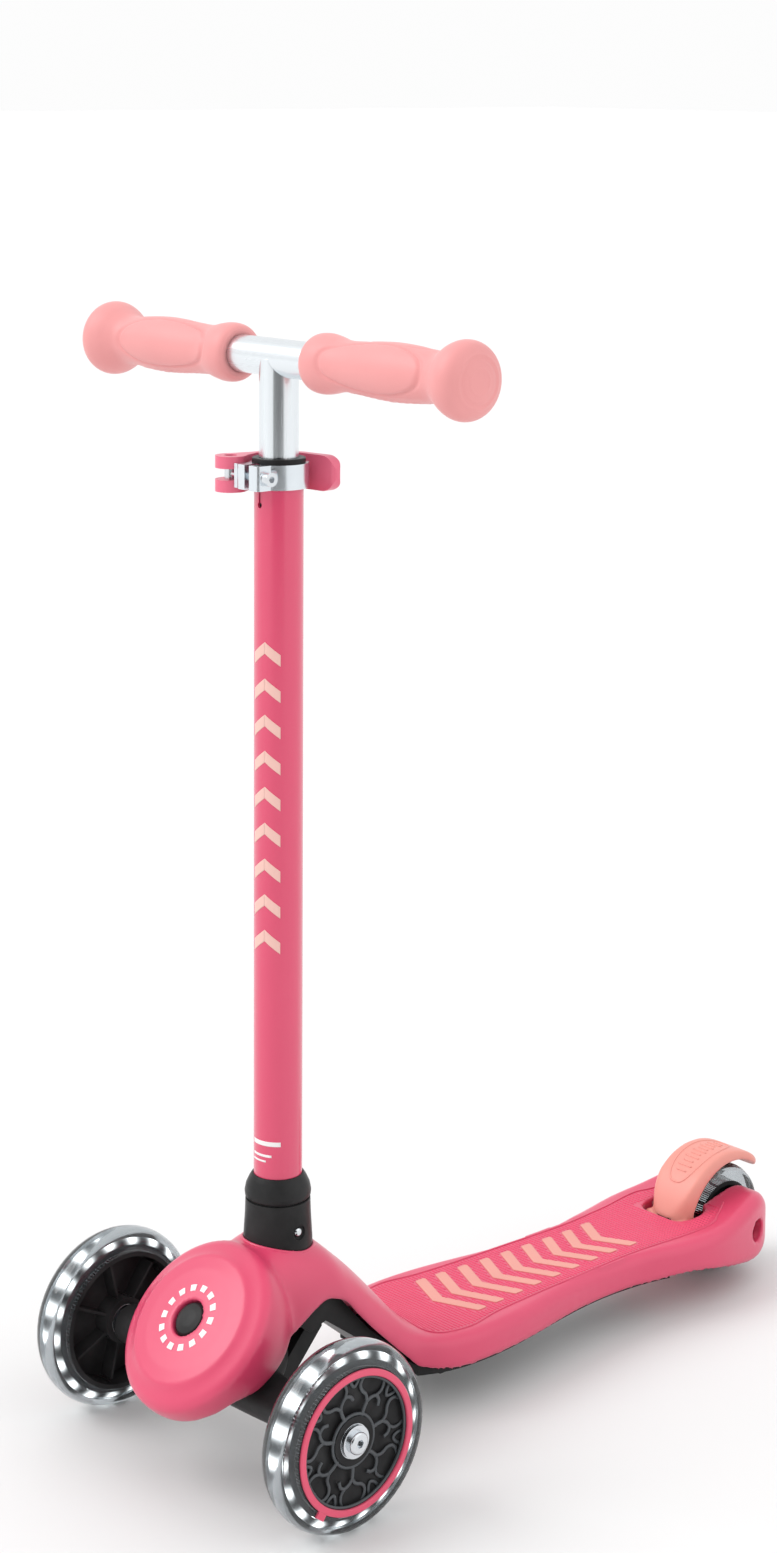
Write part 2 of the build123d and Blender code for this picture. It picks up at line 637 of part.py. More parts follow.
def make_rear_spacers():
    sides = [pipe(5.8, AXLE_R, rear_plane(x), 2.9) for x in (11.55, -SLOT_HALF + 0.05)]
    return Compound(sides + [pipe(5.8, AXLE_R, rear_plane(-4.4), 8.8)])


def make_rear_axle():
    head = fillet(rod(7.0, rear_plane(31), 4).edges().group_by(Axis.X)[-1], 1.6)
    return head + rod(AXLE_R, rear_plane(-38), 69) - hex_prism(5, rear_plane(32.6), 4)


def make_rear_nut():
    return hex_prism(13, rear_plane(-37), 6) - rod(AXLE_R, rear_plane(-39), 10)


# ---------------------------------------------------------------- rear brake

def make_brake_lever():
    """Foot brake: a curved fender over the rear wheel on a cross pin in the deck."""
    outline = make_face([
        Spline((415.5, 46), (420.5, 61), (431.5, 78.5), (449, 90.8), (471, 94.5), (492, 89), (508, 78)),
        ThreePointArc((508, 78), (509.5, 74), (505.5, 72.6)),
        Spline((505.5, 72.6), (491, 82), (472, 85.6), (452, 79.6), (438, 67), (429.5, 46)),
        Line((429.5, 46), (415.5, 46)),
    ])
    fender = extrude(Plane.YZ * outline, 20, both=True)
    plan = Pos(0, 464) * RectangleRounded(40, 92, 17)
    fender &= extrude(plan, 200)
    hub = rod(6.2, across(-20, PIN_Y, PIN_Z), 40)
    lever = fender + hub
    lever -= block(0, PIN_Y + 4, PIN_Z - 1, 15, 18, 14)
    return lever - rod(PIN_R + 0.06, across(-25, PIN_Y, PIN_Z), 50)


def make_brake_pin():
    return rod(PIN_R, across(-31, PIN_Y, PIN_Z), 62)


def make_brake_spring():
    return coil(4.2, 0.8, 2.0, 11.0, across(-5.5, PIN_Y, PIN_Z))


def build_parts():
    parts = {
        "deck_shell": make_deck_shell(),
        "neck_frame": make_neck_frame(),
        "belly_pan": make_belly_pan(),
        "belly_screws": make_belly_screws(),
        "tread_inlay": make_tread_inlay(),
        "column_socket": make_column_socket(),
        "collar_cap": make_collar_cap(),
        "outer_tube": make_outer_tube(),
        "clamp_sleeve": make_clamp_sleeve(),
        "clamp_band": make_clamp_band(),
        "clamp_bolt": make_clamp_bolt(),
        "clamp_washers": make_clamp_washer(),
        "clamp_barrel": make_clamp_barrel(),
        "clamp_lever": make_clamp_lever(),
        "inner_tube": make_inner_tube(),
        "crossbar": make_crossbar(),
        "grip_left": make_grip(1),
        "grip_right": make_grip(-1),
        "tube_plug": make_tube_plug(),
        "height_button": make_height_button(),
        "height_spring": make_height_spring(),
        "column_button": make_column_button(),
        "column_spring": make_column_spring(),
        "truck_beam": make_truck_beam(),
        "pivot_shaft": make_pivot_shaft(),
        "pivot_nut": make_pivot_nut(),
        "pivot_bushes": make_pivot_bushes(),
        "centering_spring": make_centering_spring(),
        "lock_button": make_lock_button(),
        "lock_spring": make_lock_spring(),
        "axle_spacers": make_axle_spacers(),
        "rear_tyre": make_rear_tyre(),
        "rear_hub": make_rear_hub(),
        "rear_bearings": make_rear_bearings(),
        "rear_spacers": make_rear_spacers(),
        "rear_axle": make_rear_axle(),
        "rear_nut": make_rear_nut(),
        "brake_lever": make_brake_lever(),
        "brake_pin": make_brake_pin(),
        "brake_spring": make_brake_spring(),
    }
    for name, side in (("left", 1), ("right", -1)):
        parts["tyre_" + name] = make_tyre(side)
        parts["hub_" + name] = make_hub(side)
        parts["trim_ring_" + name] = make_trim_ring(side)
        parts["light_ring_" + name] = make_light_ring(side)
        parts["leds_" + name] = make_leds(side)
        parts["bearings_" + name] = make_bearings(side)
        parts["dynamo_core_" + name] = make_dynamo_core(side)
        parts["axle_bolt_" + name] = make_axle_bolt(side)
    return parts


os.makedirs("parts", exist_ok=True)
for node, solid in build_parts().items():
    export_step(Pos(0, -MID_Y, 0) * solid, f"parts/{node}.step")
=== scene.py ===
import math

import bmesh
import bpy
import numpy as np
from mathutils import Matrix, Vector
from mathutils.bvhtree import BVHTree


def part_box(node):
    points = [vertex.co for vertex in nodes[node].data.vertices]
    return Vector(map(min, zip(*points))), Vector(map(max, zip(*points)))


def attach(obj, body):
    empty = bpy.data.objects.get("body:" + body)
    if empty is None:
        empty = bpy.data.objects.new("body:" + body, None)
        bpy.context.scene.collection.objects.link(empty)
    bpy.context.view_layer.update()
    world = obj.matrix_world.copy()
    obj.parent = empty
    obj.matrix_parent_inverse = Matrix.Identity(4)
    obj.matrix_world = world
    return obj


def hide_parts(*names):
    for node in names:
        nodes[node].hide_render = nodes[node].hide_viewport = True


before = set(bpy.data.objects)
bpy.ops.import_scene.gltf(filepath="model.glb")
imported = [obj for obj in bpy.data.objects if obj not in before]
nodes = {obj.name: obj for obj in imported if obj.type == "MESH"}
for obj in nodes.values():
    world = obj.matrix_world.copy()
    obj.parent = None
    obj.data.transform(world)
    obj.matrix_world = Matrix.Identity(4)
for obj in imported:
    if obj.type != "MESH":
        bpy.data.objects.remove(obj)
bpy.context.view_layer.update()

MID = 0.22675            # front axle to the frame's origin
MM = 0.001
TILT = math.radians(48)  # steering pivot, from upright
AXIS = np.array([0, -math.sin(TILT), math.cos(TILT)])
COVER = np.array([0, -0.025 - MID, 0.102]) + AXIS * 0.006
COLUMN_Y = 0.045 - MID
COLUMN_R = 0.0159
BAR_R = 0.01225
WHEEL_X = 0.118          # mid-plane of a front wheel
WHEEL_Z = 0.0605
LIGHTS = 18              # in each front wheel
WEB_ARMS = 7


# ------------------------------------------------------------------ helpers

def link(obj):
    bpy.context.scene.collection.objects.link(obj)
    return obj


def piece(name, verts, faces, body, material, smooth=True):
    mesh = bpy.data.meshes.new(name)
    mesh.from_pydata([tuple(v) for v in verts], [], [tuple(f) for f in faces])
    mesh.update()
    bm = bmesh.new()
    bm.from_mesh(mesh)
    bmesh.ops.recalc_face_normals(bm, faces=bm.faces)
    bm.to_mesh(mesh)
    bm.free()
    obj = link(bpy.data.objects.new(name, mesh))
    if smooth:
        mesh.shade_smooth()
    mesh.materials.append(material)
    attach(obj, body)
    return obj


def coords(mesh):
    co = np.zeros(len(mesh.vertices) * 3)
    mesh.vertices.foreach_get("co", co)
    return co.reshape(-1, 3)


def put(mesh, co):
    mesh.vertices.foreach_set("co", co.astype(np.float32).ravel())
    mesh.update()


def remeshed(node, name, voxel):
    """A fine even-quad copy of a CAD node's shape."""
    mesh = nodes[node].data.copy()
    bm = bmesh.new()
    bm.from_mesh(mesh)
    bmesh.ops.remove_doubles(bm, verts=bm.verts, dist=2e-6)
    bm.to_mesh(mesh)
    bm.free()
    obj = link(bpy.data.objects.new(name, mesh))
    mod = obj.modifiers.new("remesh", "REMESH")
    mod.mode = "VOXEL"
    mod.voxel_size = voxel
    dg = bpy.context.evaluated_depsgraph_get()
    obj.data = bpy.data.meshes.new_from_object(obj.evaluated_get(dg))
    obj.modifiers.clear()
    obj.data.name = name
    obj.data.materials.clear()
    for attr in [a.name for a in obj.data.attributes if a.name in ("custom_normal", "sharp_face")]:
        obj.data.attributes.remove(obj.data.attributes[attr])
    obj.data.shade_smooth()
    return obj


def relax(mesh, co, weight, steps, keep=0.0):
    """Evens the surface out; keep of 1 undoes the shrink."""
    edges = np.zeros(len(mesh.edges) * 2, np.int64)
    mesh.edges.foreach_get("vertices", edges)
    edges = edges.reshape(-1, 2)
    count = len(co)
    a = np.concatenate([edges[:, 0], edges[:, 1]])
    b = np.concatenate([edges[:, 1], edges[:, 0]])
    degree = np.maximum(np.bincount(a, minlength=count), 1)
    for step in range(steps):
        mean = np.stack([np.bincount(a, co[b, k], count) for k in range(3)], 1) / degree[:, None]
        pull = 0.5 if step % 2 == 0 or not keep else -0.52 * keep
        co = co + (mean - co) * (weight * pull)[:, None]
    return co


def smoothstep(low, high, value):
    t = np.clip((value - low) / (high - low), 0, 1)
    return t * t * (3 - 2 * t)


def catmull(points, per=8, closed=False):
    """Smooth curve through the points."""
    p = [np.array(q, float) for q in points]
    n = len(p)
    out = []
    for i in range(n if closed else n - 1):
        if closed:
            a, b, c, d = p[(i - 1) % n], p[i], p[(i + 1) % n], p[(i + 2) % n]
        else:
            a, b, c, d = p[max(i - 1, 0)], p[i], p[i + 1], p[min(i + 2, n - 1)]
        for k in range(per):
            t = k / per
            out.append(0.5 * (2 * b + (c - a) * t + (2 * a - 5 * b + 4 * c - d) * t * t
                              + (3 * b - a - 3 * c + d) * t ** 3))
    if not closed:
        out.append(p[-1])
    return out


def tube_mesh(path, radius, normal, flat=1.0, sides=8, closed=False):
    """Rod along a path; normal is the out direction, flat scales the height along it."""
    path = [np.array(q, float) for q in path]
    n = len(path)
    verts, faces = [], []
    for i, point in enumerate(path):
        ahead = path[(i + 1) % n] if closed or i + 1 < n else path[i]
        behind = path[i - 1] if closed or i > 0 else path[i]
        tangent = ahead - behind
        tangent /= max(np.linalg.norm(tangent), 1e-12)
        up = np.array(normal(point) if callable(normal) else normal, float)
        side = np.cross(tangent, up)
        side /= max(np.linalg.norm(side), 1e-12)
        for k in range(sides):
            angle = 2 * math.pi * k / sides
            verts.append(point + side * math.cos(angle) * radius + up * math.sin(angle) * radius * flat)
    rings = n if closed else n - 1
    for i in range(rings):
        j = (i + 1) % n
        for k in range(sides):
            m = (k + 1) % sides
            faces.append((i * sides + k, j * sides + k, j * sides + m, i * sides + m))
    if not closed:
        faces.append(tuple(range(sides)))
        faces.append(tuple((n - 1) * sides + k for k in range(sides)))
    return verts, faces


def joined(parts):
    verts, faces = [], []
    for v, f in parts:
        base = len(verts)
        verts += list(v)
        faces += [tuple(i + base for i in face) for face in f]
    return verts, faces


# ------------------------------------------------------------------ materials

def shader_of(mat):
    return next(n for n in mat.node_tree.nodes if n.type == "BSDF_PRINCIPLED")


def noise(tree, coord, scale, detail=3.0, stretch=None):
    if stretch:
        mapping = tree.nodes.new("ShaderNodeMapping")
        mapping.inputs["Scale"].default_value = stretch
        tree.links.new(coord, mapping.inputs["Vector"])
        coord = mapping.outputs["Vector"]
    node = tree.nodes.new("ShaderNodeTexNoise")
    node.inputs["Scale"].default_value = scale
    node.inputs["Detail"].default_value = detail
    tree.links.new(coord, node.inputs["Vector"])
    return node.outputs["Fac"]


def material(name, colour, rough, metallic=0.0, tint=0.05, patch=30, rough_range=0.07, grain=1400,
             bump=0.1, depth=0.00006, stretch=None, **extra):
    """Moulded or drawn surface: patchy tone, fine grain in the roughness and the relief."""
    mat = bpy.data.materials.new(name)
    mat.use_nodes = True
    tree = mat.node_tree
    shader = shader_of(mat)
    coord = tree.nodes.new("ShaderNodeTexCoord").outputs["Object"]
    mix = tree.nodes.new("ShaderNodeMix")
    mix.data_type = "RGBA"
    low = [c * (1 - tint) for c in colour]
    high = [min(1, c * (1 + tint) + 0.25 * tint * (1 - c) * (1 - metallic)) for c in colour]
    mix.inputs["A"].default_value = (*low, 1)
    mix.inputs["B"].default_value = (*high, 1)
    tree.links.new(noise(tree, coord, patch, 4, stretch), mix.inputs["Factor"])
    tree.links.new(mix.outputs["Result"], shader.inputs["Base Color"])
    spread = tree.nodes.new("ShaderNodeMapRange")
    spread.inputs["To Min"].default_value = max(rough - rough_range, 0.02)
    spread.inputs["To Max"].default_value = min(rough + rough_range, 1)
    fine = noise(tree, coord, grain * 0.3, 3, stretch)
    tree.links.new(fine, spread.inputs["Value"])
    tree.links.new(spread.outputs["Result"], shader.inputs["Roughness"])
    relief = tree.nodes.new("ShaderNodeBump")
    relief.inputs["Strength"].default_value = bump
    relief.inputs["Distance"].default_value = depth
    tree.links.new(noise(tree, coord, grain, 2, stretch), relief.inputs["Height"])
    tree.links.new(relief.outputs["Normal"], shader.inputs["Normal"])
    shader.inputs["Metallic"].default_value = metallic
    for key, value in extra.items():
        shader.inputs[key.replace("_", " ")].default_value = value
    return mat


PINK = (0.67, 0.046, 0.128)
M = {
    "body": material("body_pink", PINK, 0.36, tint=0.04, patch=22, grain=1500, bump=0.16, depth=0.00012,
                     Coat_Weight=0.4, Coat_Roughness=0.32, Specular_IOR_Level=0.5),
    "tread": material("tread_pink", (0.70, 0.055, 0.140), 0.46, tint=0.05, patch=40, grain=1700, bump=0.2,
                      depth=0.00012, Specular_IOR_Level=0.4),
    "tube_pink": material("lacquered_pink", (0.68, 0.036, 0.120), 0.34, tint=0.025, patch=14, grain=2400,
                          bump=0.02, depth=0.00004, rough_range=0.02, Coat_Weight=0.8, Coat_Roughness=0.16,
                          Coat_IOR=1.6),
    "salmon": material("soft_salmon", (0.79, 0.315, 0.312), 0.45, tint=0.045, patch=26, grain=1600,
                       bump=0.22, depth=0.00014, Specular_IOR_Level=0.35, Sheen_Weight=0.12,
                       Sheen_Roughness=0.5),
    "brake": material("moulded_salmon", (0.77, 0.30, 0.25), 0.4, tint=0.04, patch=30, grain=1600, bump=0.18,
                      depth=0.0001, Specular_IOR_Level=0.4),
    "inlay": material("inlay_salmon", (0.74, 0.31, 0.26), 0.5, tint=0.05, patch=34, grain=1800, bump=0.2,
                      depth=0.0001),
    "print": material("printed_salmon", (0.82, 0.50, 0.44), 0.42, tint=0.04, patch=60, grain=2200, bump=0.1,
                      depth=0.00004),
    "white": material("printed_white", (0.86, 0.84, 0.84), 0.42, tint=0.03, patch=60, grain=2200, bump=0.1,
                      depth=0.00004),
    "lever": material("lever_pink", (0.76, 0.13, 0.22), 0.34, tint=0.04, patch=40, grain=1500, bump=0.14,
                      depth=0.0001, Coat_Weight=0.15, Coat_Roughness=0.3),
    "ring": material("ring_pink", (0.72, 0.075, 0.15), 0.36, tint=0.04, patch=60, grain=1500, bump=0.14,
                     depth=0.0001),
    "black": material("satin_black", (0.002, 0.002, 0.0025), 0.34, tint=0.2, patch=30, grain=1300, bump=0.2,
                      depth=0.00012, Specular_IOR_Level=0.10),
    "truck": material("moulded_black", (0.004, 0.004, 0.005), 0.42, tint=0.2, patch=30, grain=1000, bump=0.3,
                      depth=0.0002, Specular_IOR_Level=0.15),
    "hub": material("gloss_black", (0.002, 0.002, 0.003), 0.24, tint=0.2, patch=40, grain=1300, bump=0.08,
                    depth=0.00008, Specular_IOR_Level=0.06),
    "web": material("web_grey", (0.040, 0.047, 0.054), 0.4, tint=0.12, patch=60, grain=1500, bump=0.2,
                    depth=0.0001),
    "tube_silver": material("drawn_aluminium", (0.80, 0.84, 0.87), 0.26, metallic=1.0, tint=0.03, patch=30,
                            grain=700, bump=0.10, depth=0.00004, rough_range=0.06, stretch=(4.0, 4.0, 0.06)),
    "bar_silver": material("drawn_bar", (0.80, 0.84, 0.87), 0.26, metallic=1.0, tint=0.03, patch=30,
                           grain=700, bump=0.10, depth=0.00004, rough_range=0.06, stretch=(0.06, 4.0, 4.0)),
    "clamp": material("cast_aluminium", (0.74, 0.79, 0.83), 0.24, metallic=1.0, tint=0.05, patch=90,
                      grain=900, bump=0.12, depth=0.00006),
    "steel": material("zinc_steel", (0.70, 0.73, 0.76), 0.22, metallic=1.0, tint=0.08, patch=220, grain=1200,
                      bump=0.12, depth=0.00006),
    "spring": material("spring_steel", (0.42, 0.43, 0.45), 0.34, metallic=1.0, tint=0.08, patch=220,
                       grain=1200, bump=0.12, depth=0.00006),
    "bush": material("bush_nylon", (0.62, 0.60, 0.52), 0.5, tint=0.06, patch=90, grain=1500, bump=0.15,
                     depth=0.0001),
    "magnet": material("magnet_grey", (0.16, 0.16, 0.17), 0.4, metallic=0.8, tint=0.08, patch=90, grain=1500,
                       bump=0.15, depth=0.0001),
    "tyre": material("clear_urethane", (0.47, 0.51, 0.535), 0.08, tint=0.06, patch=70, grain=260, bump=0.08,
                     depth=0.0002, rough_range=0.05, Transmission_Weight=0.96, IOR=1.44),
    "carrier": material("module_smoke", (0.06, 0.07, 0.08), 0.18, tint=0.12, patch=120, grain=900, bump=0.15,
                        depth=0.0001, Transmission_Weight=0.25, IOR=1.45),
    "glow": material("glow_smoke", (0.045, 0.05, 0.055), 0.25, tint=0.15, patch=200, grain=900, bump=0.15,
                     depth=0.0001, Emission_Color=(1, 0.99, 0.97, 1)),
    "led": material("led_white", (0.95, 0.97, 1.0), 0.3, tint=0.02, patch=400, grain=2500, bump=0.1,
                    depth=0.00003, Emission_Color=(1, 0.99, 0.97, 1), Emission_Strength=30.0),
}



def light_by_attribute(mat, attribute, strength):
    """Emission that follows a value stored on the mesh."""
    tree = mat.node_tree
    shader = shader_of(mat)
    value = tree.nodes.new("ShaderNodeAttribute")
    value.attribute_name = attribute
    gain = tree.nodes.new("ShaderNodeMath")
    gain.operation = "MULTIPLY"
    gain.inputs[1].default_value = strength
    tree.links.new(value.outputs["Fac"], gain.inputs[0])
    tree.links.new(gain.outputs["Value"], shader.inputs["Emission Strength"])


light_by_attribute(M["glow"], "glow", 7.0)

NODE_LOOK = {
    "deck_shell": "body", "neck_frame": "black", "belly_pan": "black", "belly_screws": "steel",
    "tread_inlay": "inlay", "column_socket": "black", "collar_cap": "black", "outer_tube": "tube_pink",
    "clamp_sleeve": "black", "clamp_band": "clamp", "clamp_bolt": "steel", "clamp_washers": "clamp",
    "clamp_barrel": "steel", "clamp_lever": "lever", "inner_tube": "tube_silver", "crossbar": "bar_silver",
    "grip_left": "salmon", "grip_right": "salmon", "tube_plug": "black", "height_button": "steel",
    "height_spring": "spring", "column_button": "steel", "column_spring": "spring", "truck_beam": "truck",
    "pivot_shaft": "steel", "pivot_nut": "steel", "pivot_bushes": "bush", "centering_spring": "spring",
    "lock_button": "black", "lock_spring": "spring", "axle_spacers": "steel", "rear_tyre": "tyre",
    "rear_hub": "hub", "rear_bearings": "steel", "rear_spacers": "steel", "rear_axle": "steel",
    "rear_nut": "steel", "brake_lever": "brake", "brake_pin": "steel", "brake_spring": "spring",
}
for side in ("left", "right"):
    NODE_LOOK.update({
        "tyre_" + side: "tyre", "hub_" + side: "hub", "trim_ring_" + side: "ring",
        "light_ring_" + side: "carrier", "leds_" + side: "led", "bearings_" + side: "steel",
        "dynamo_core_" + side: "magnet", "axle_bolt_" + side: "steel",
    })

EDGE = {"clamp_lever": 0.9, "clamp_band": 0.35, "column_socket": 0.5, "collar_cap": 0.3, "tread_inlay": 0.25,
        "trim_ring_left": 0.25, "trim_ring_right": 0.25, "belly_pan": 0.6, "clamp_bolt": 0.3,
        "clamp_sleeve": 0.3, "outer_tube": 0.25, "crossbar": 0.25, "inner_tube": 0.2, "truck_beam": 1.2,
        "column_button": 0.2, "axle_bolt_left": 0.25, "axle_bolt_right": 0.25, "rear_axle": 0.25}


def finish_node(name, obj):
    mesh = obj.data
    mesh.materials.clear()
    mesh.materials.append(M[NODE_LOOK[name]])
    for poly in mesh.polygons:
        poly.material_index = 0
    if "custom_normal" in mesh.attributes:
        mesh.attributes.remove(mesh.attributes["custom_normal"])
    mesh.shade_smooth()
    weld = obj.modifiers.new("weld", "WELD")
    weld.merge_threshold = 2e-6
    bevel = obj.modifiers.new("bevel", "BEVEL")
    bevel.width = EDGE.get(name, 0.15) * MM
    bevel.segments = 2
    bevel.limit_method = "ANGLE"
    bevel.angle_limit = math.radians(32)
    normals = obj.modifiers.new("normals", "WEIGHTED_NORMAL")
    normals.keep_sharp = False


for name, obj in nodes.items():
    finish_node(name, obj)


# ------------------------------------------------------------------ deck, neck and nose

def shape_shell():
    shell = remeshed("deck_shell", "deck_body", 0.0014)
    mesh = shell.data
    co = coords(mesh)
    x, y, z = co[:, 0], co[:, 1] + MID, co[:, 2]
    flat = (y > 0.170) & (y < 0.392) & (np.abs(x) < 0.038) & (z > 0.0527)
    co[flat, 2] = 0.055
    reach = (co - COVER) @ AXIS
    axial = np.linalg.norm(np.cross(co - COVER, AXIS), axis=1)
    column = np.hypot(co[:, 0], co[:, 1] - COLUMN_Y)
    # the seams between cover, cup and neck melt together; the rims of the openings stay crisp
    free = smoothstep(0.0232, 0.029, column) * smoothstep(0.0125, 0.017, axial)
    face = smoothstep(-0.010, -0.017, reach) + smoothstep(0.058, 0.0595, axial)
    neck = smoothstep(0.172, 0.150, y) * free * np.clip(face, 0, 1)
    arch = smoothstep(0.030, 0.044, z)
    co = relax(mesh, co, neck * arch, 46)
    tread = (y > 0.160) & (y < 0.405) & (np.abs(x) < 0.042) & (z > 0.050)
    co = relax(mesh, co, np.where(tread, 0.0, free), 16, keep=1.0)
    put(mesh, co)
    mesh.materials.append(M["body"])
    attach(shell, "deck")
    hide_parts("deck_shell")
    return shell


shell = shape_shell()
surface = BVHTree.FromPolygons([v.co for v in shell.data.vertices],
                               [tuple(p.vertices) for p in shell.data.polygons])


def top_of(x, y):
    """Height of the deck's upper surface, in the frame."""
    hit = surface.ray_cast(Vector((x, y, 0.2)), Vector((0, 0, -1)))
    return hit[0].z if hit[0] is not None else 0.055


def collar_lip():
    """Rolled edge of the neck where the collar goes in."""
    angles = [2 * math.pi * k / 96 for k in range(96)]
    heights = np.array([top_of(0.0252 * math.cos(a), COLUMN_Y + 0.0252 * math.sin(a)) for a in angles])
    for _ in range(6):
        heights = (np.roll(heights, 1) + heights + np.roll(heights, -1)) / 3
    path = [(0.0235 * math.cos(a), COLUMN_Y + 0.0235 * math.sin(a), z + 0.0002)
            for a, z in zip(angles, heights)]
    verts, faces = tube_mesh(path, 0.0011, (0, 0, 1), sides=12, closed=True)
    piece("collar_lip", verts, faces, "deck", M["body"])


collar_lip()


def table(points, value):
    xs, ys = zip(*points)
    return np.interp(value, xs, ys)


OUTLINE = [(0.140, 0.020), (0.150, 0.038), (0.162, 0.044), (0.180, 0.046), (0.207, 0.041),
           (0.250, 0.038), (0.287, 0.0365), (0.345, 0.0345), (0.385, 0.037), (0.424, 0.040), (0.440, 0.034),
           (0.455, 0.026)]


def tread_half(y):
    return table(OUTLINE, y)


inlay_tree = BVHTree.FromPolygons([v.co for v in nodes["tread_inlay"].data.vertices],
                                  [tuple(p.vertices) for p in nodes["tread_inlay"].data.polygons])


def near_inlay(x, y):
    for dx, dy in ((0, 0), (1.1, 0), (-1.1, 0), (0, 1.1), (0, -1.1)):
        hit = inlay_tree.ray_cast(Vector((x + dx * MM, y + dy * MM, 0.1)), Vector((0, 0, -1)))
        if hit[0] is not None:
            return True
    return False


def in_pocket(x, y):
    """Clear of the opening round the brake and of the wheel slot."""
    dy = abs(y + MID - 0.429)
    return (abs(x) < 0.0245 and dy < 0.0175) or (abs(x) < 0.0165 and y + MID > 0.429)


def tread_ribs():
    parts = []
    pitch = 2.9 * MM
    rows = int((0.452 - 0.146) / pitch)
    for row in range(rows):
        y = 0.146 + row * pitch - MID
        half = float(tread_half(y + MID)) - 0.0016
        steps = max(int(2 * half / 0.0011), 4)
        run = []
        for i in range(steps + 1):
            x = -half + 2 * half * i / steps
            if near_inlay(x, y) or in_pocket(x, y):
                if len(run) > 3:
                    parts.append(rib(run))
                run = []
            else:
                run.append((x, y, top_of(x, y)))
        if len(run) > 3:
            parts.append(rib(run))
    verts, faces = joined(parts)
    obj = piece("tread_ribs", verts, faces, "deck", M["tread"])
    return obj


def rib(run):
    """Low rounded bar along a run of surface points."""
    profile = ((-0.78, -0.35), (-0.62, 0.22), (-0.3, 0.46), (0.3, 0.46), (0.62, 0.22), (0.78, -0.35))
    verts, faces = [], []
    count = len(run)
    for i, (x, y, z) in enumerate(run):
        fade = 1.0 if 0 < i < count - 1 else 0.35
        for a, b in profile:
            verts.append((x, y + a * MM * fade, z + b * MM * (fade if b > 0 else 1)))
    n = len(profile)
    for i in range(count - 1):
        for k in range(n - 1):
            faces.append((i * n + k, (i + 1) * n + k, (i + 1) * n + k + 1, i * n + k + 1))
        faces.append((i * n + n - 1, (i + 1) * n + n - 1, (i + 1) * n, i * n))
    faces.append(tuple(range(n)))
    faces.append(tuple((count - 1) * n + k for k in range(n)))
    return verts, faces


tread_ribs()


def tread_edge():
    right = catmull([(h, y) for y, h in OUTLINE], 10)
    ring = [(p[0], p[1]) for p in right] + [(-p[0], p[1]) for p in reversed(right)]
    path = [(x, y - MID, top_of(x, y - MID) + 0.0001) for x, y in ring if not in_pocket(x, y - MID)]
    front = catmull([(-0.020, 0.140), (-0.010, 0.137), (0.010, 0.137), (0.020, 0.140)], 8)
    path += [(x, y - MID, top_of(x, y - MID) + 0.0001) for x, y in front[1:-1]]
    split = max(range(len(path)), key=lambda i: np.linalg.norm(np.array(path[i]) - np.array(path[i - 1])))
    path = path[split:] + path[:split]
    verts, faces = tube_mesh(path, 0.00075, (0, 0, 1), flat=0.9, sides=10)
    piece("tread_edge", verts, faces, "deck", M["body"])


tread_edge()


# ------------------------------------------------------------------ cover ticks, brake, printed marks

def on_cover(radius, angle, out):
    u = np.array([1.0, 0, 0])
    v = np.cross(AXIS, u)
    return COVER + u * radius * math.cos(angle) + v * radius * math.sin(angle) + AXIS * out


def cover_ticks():
    parts = []
    for index in range(14):
        mid = 2 * math.pi * (index + 0.5) / 14
        verts, faces = [], []
        steps = 6
        for r, out in ((0.0178, 0.0006), (0.0181, 0.00135), (0.0222, 0.00120), (0.0225, 0.0004)):
            for k in range(steps + 1):
                verts.append(on_cover(r, mid + (k / steps - 0.5) * 0.22, out))
        for j in range(3):
            for k in range(steps):
                a = j * (steps + 1) + k
                faces.append((a, a + 1, a + steps + 2, a + steps + 1))
        for k in range(steps):
            faces.append((3 * (steps + 1) + k, 3 * (steps + 1) + k + 1, k + 1, k))
        faces.append((0, steps + 1, 2 * (steps + 1), 3 * (steps + 1)))
        faces.append(tuple(j * (steps + 1) + steps for j in range(4)))
        parts.append((verts, faces))
    verts, faces = joined(parts)
    piece("cover_ticks", verts, faces, "deck", M["white"], smooth=False)


cover_ticks()


def column_point(z, arc, lift=0.0):
    """Point on the lower tube; arc in metres from the graphic's centre line, positive to the left."""
    radius = COLUMN_R + lift
    angle = math.radians(-90 + 17) + arc / COLUMN_R
    return (radius * math.cos(angle), COLUMN_Y + radius * math.sin(angle), z)


def column_patch(corners, steps=(10, 10)):
    """Thin printed patch with its four corners given as (arc, z)."""
    nu, nv = steps
    verts, faces = [], []
    for lift in (0.00012, -0.0003):
        for j in range(nv + 1):
            for i in range(nu + 1):
                s, t = i / nu, j / nv
                (a0, z0), (a1, z1), (a2, z2), (a3, z3) = corners
                arc = (1 - t) * ((1 - s) * a0 + s * a1) + t * ((1 - s) * a3 + s * a2)
                z = (1 - t) * ((1 - s) * z0 + s * z1) + t * ((1 - s) * z3 + s * z2)
                verts.append(column_point(z, arc, lift))
    layer = (nu + 1) * (nv + 1)
    for j in range(nv):
        for i in range(nu):
            a = j * (nu + 1) + i
            faces.append((a, a + 1, a + nu + 2, a + nu + 1))
            faces.append((layer + a, layer + a + nu + 1, layer + a + nu + 2, layer + a + 1))
    rim = list(range(nu + 1))
    rim += [j * (nu + 1) + nu for j in range(1, nv + 1)]
    rim += [nv * (nu + 1) + i for i in range(nu - 1, -1, -1)]
    rim += [j * (nu + 1) for j in range(nv - 1, 0, -1)]
    for a, b in zip(rim, rim[1:] + rim[:1]):
        faces.append((a, b, layer + b, layer + a))
    return verts, faces


